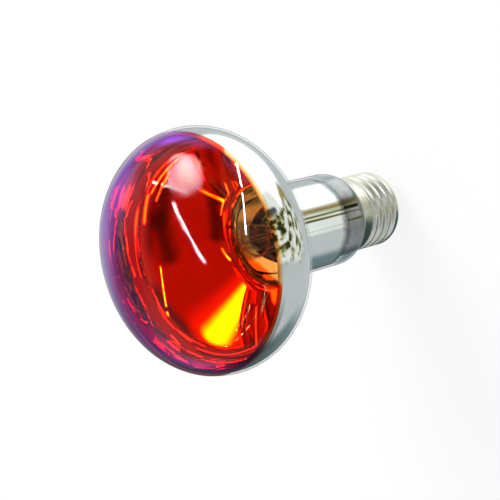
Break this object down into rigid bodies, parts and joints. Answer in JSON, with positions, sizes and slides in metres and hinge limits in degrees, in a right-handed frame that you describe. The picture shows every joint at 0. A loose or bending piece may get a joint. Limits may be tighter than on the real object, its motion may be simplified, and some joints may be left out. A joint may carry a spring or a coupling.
{
  "type": "reflector bulb",
  "caption": "Reflector lamp with a domed red-lacquered face, silvered glass body, bare glass neck end and a coarse-thread screw cap.",
  "frame": {"origin": "tip of the centre contact, on the lamp's axis", "axes": "+Z along the lamp's axis from the cap to the face; +X towards the centre lead's side of the press, -X towards the side contact's solder"},
  "size_m": [0.08, 0.08, 0.114],
  "materials": {
    "clear_glass": "clear blown glass",
    "mirror_film": "bright vacuum-deposited aluminium",
    "red_lacquer": "clear red lacquer, glossy",
    "cap_aluminium": "bright rolled sheet",
    "cement": "matte cured cement",
    "black_glass": "glossy black glass",
    "contact_brass": "stamped",
    "solder": "smooth tin solder",
    "mount_glass": "clear drawn glass",
    "nickel": "drawn nickel wire",
    "seal_wire": "copper-clad wire, red-brown in the press",
    "copper": "drawn copper wire",
    "tungsten": "dark drawn tungsten",
    "molybdenum": "drawn molybdenum wire"
  },
  "bodies": {
    "root": {"glass_bulb": "clear_glass", "mirror_film": "mirror_film", "colour_coat": "red_lacquer", "cap_shell": "cap_aluminium", "cap_cement": "cement", "cap_insulator": "black_glass", "contact_plate": "contact_brass", "contact_solder": "solder", "side_solder": "solder", "stem_flare": "mount_glass", "exhaust_tube": "mount_glass", "stem_rod": "mount_glass", "centre_lead_inner": "nickel", "side_lead_inner": "nickel", "centre_lead_seal": "seal_wire", "side_lead_seal": "seal_wire", "centre_lead_outer": "copper", "side_lead_outer": "copper", "filament": "tungsten", "filament_support_1": "molybdenum", "filament_support_2": "molybdenum", "filament_support_3": "molybdenum"}
  },
  "joints": []
}
